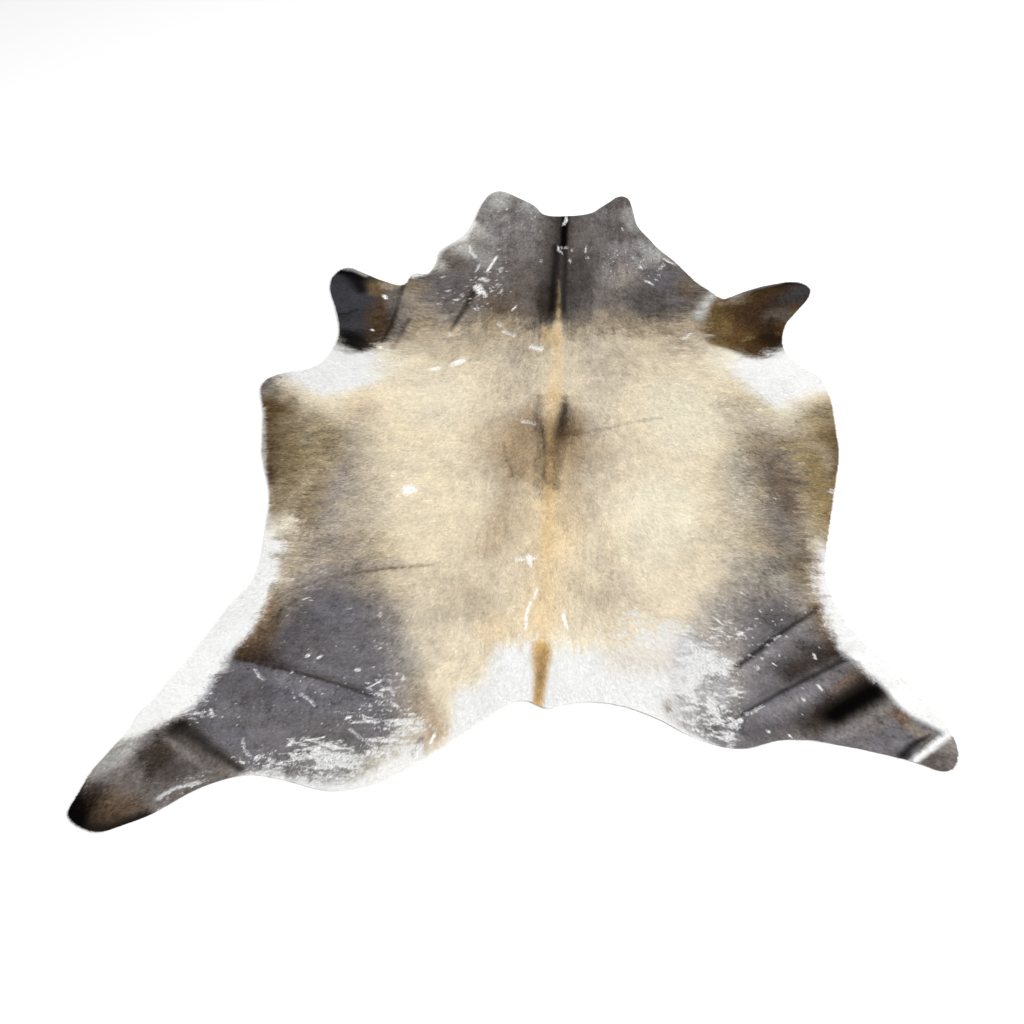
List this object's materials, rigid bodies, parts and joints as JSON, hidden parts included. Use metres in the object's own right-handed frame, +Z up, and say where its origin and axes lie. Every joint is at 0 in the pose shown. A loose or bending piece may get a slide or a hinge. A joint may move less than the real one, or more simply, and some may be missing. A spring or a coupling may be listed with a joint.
{
  "type": "cowhide rug",
  "caption": "Flat hair-on cowhide rug in its natural outline, with leg, neck and tail lobes and soft folds on the legs, laid on a floor as a covering.",
  "frame": {"origin": "under the middle of the outline's box, on the surface that the hide lies on", "axes": "+Z up out of the hair side, +Y along the spine from the tail to the neck, +X to the hide's right"},
  "size_m": [1.9648, 2.6028, 0.0166],
  "materials": {
    "hide": "short flat hair in cream, gold, taupe, slate and white over tanned skin, with a satin sheen"
  },
  "bodies": {
    "root": {"hide": "hide"}
  },
  "joints": []
}
